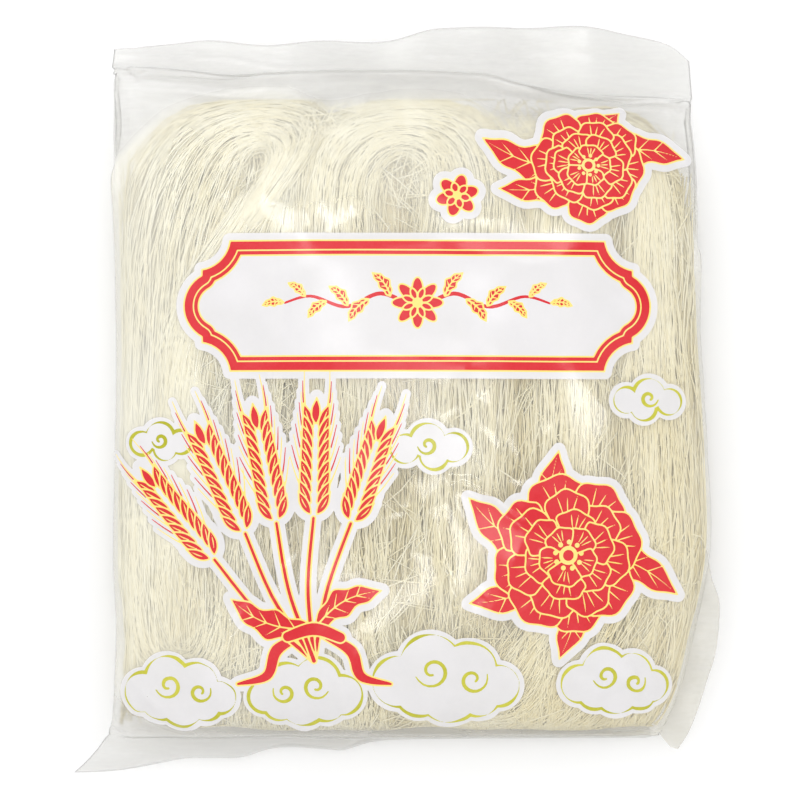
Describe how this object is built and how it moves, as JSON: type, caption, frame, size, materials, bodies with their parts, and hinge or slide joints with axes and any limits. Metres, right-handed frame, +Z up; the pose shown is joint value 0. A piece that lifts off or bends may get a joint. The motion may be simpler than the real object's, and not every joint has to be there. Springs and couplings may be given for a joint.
{
  "type": "bag of wheat vermicelli",
  "caption": "Clear sealed film bag filled with hanks of fine dried wheat vermicelli, lying flat with its printed side up.",
  "frame": {"origin": "on the surface the bag lies on, under the middle of its outline", "axes": "+X across the bag to the right as its printed side is read, +Y towards its top seal, +Z up through its thickness"},
  "size_m": [0.2518, 0.2922, 0.0399],
  "materials": {
    "film": "clear, slightly milky plastic film with a soft gloss",
    "noodle": null,
    "ink_white": "opaque white ink under the film's gloss",
    "ink_red": "red ink under the film's gloss",
    "ink_gold": "yellow-gold ink under the film's gloss"
  },
  "bodies": {
    "root": {"bag": "film"}
  },
  "joints": []
}
